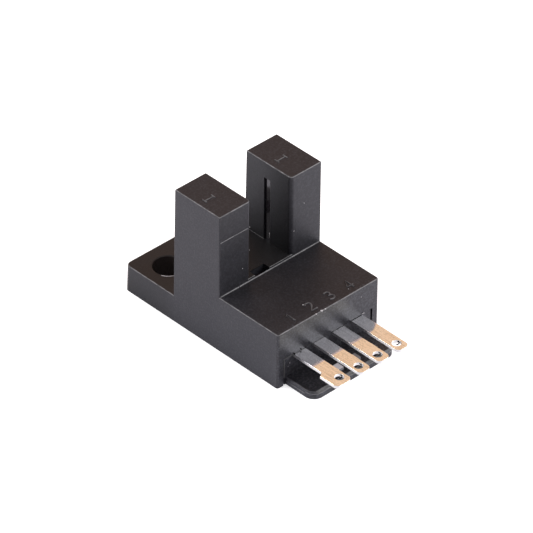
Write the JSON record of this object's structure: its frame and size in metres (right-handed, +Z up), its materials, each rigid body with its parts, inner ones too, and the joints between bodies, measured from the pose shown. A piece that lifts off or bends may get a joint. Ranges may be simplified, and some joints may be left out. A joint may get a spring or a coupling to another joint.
{
  "type": "through-beam photoelectric sensor",
  "caption": "Slot-type through-beam photoelectric sensor: black moulded case with two arms across a sensing slot, a mounting flange and flat gold solder terminals over a plug tongue.",
  "frame": {"origin": "on the mounting face, midway between the two fixing holes in the flange", "axes": "+Z up along the arms, the terminals point to -Y, +X runs across the slot from the emitter arm to the receiver arm"},
  "size_m": [0.0134, 0.0281, 0.0159],
  "materials": {
    "black_moulding": "satin moulded black plastic",
    "gold_plate": "polished gold plate",
    "board": "green solder resist on glass-fibre laminate",
    "clear_package": "pale blue clear moulding",
    "dark_package": "dark infrared-passing moulding",
    "tinned_lead": "tinned",
    "filter": "glossy dark red infrared-passing plastic",
    "light_guide": "glossy dark red clear plastic",
    "lamp": "clear red lamp",
    "chip_moulding": "matt black epoxy",
    "resistor": "black film resistor",
    "capacitor": "tan ceramic",
    "solder": "bright solder"
  },
  "bodies": {
    "root": {"case": "black_moulding", "base_cover": "black_moulding", "terminal_1": "gold_plate", "terminal_2": "gold_plate", "terminal_3": "gold_plate", "terminal_4": "gold_plate", "circuit_board": "board", "emitter_package": "clear_package", "emitter_leads": "tinned_lead", "emitter_window": "filter", "receiver_package": "dark_package", "receiver_leads": "tinned_lead", "receiver_window": "filter", "indicator_light_guide": "light_guide", "indicator_led": "lamp", "amplifier_chip": "chip_moulding", "output_transistor": "chip_moulding", "protection_diode": "chip_moulding", "emitter_resistor": "resistor", "indicator_resistor": "resistor", "pull_up_resistor": "resistor", "bypass_capacitor": "capacitor", "solder_joints": "solder"}
  },
  "joints": []
}
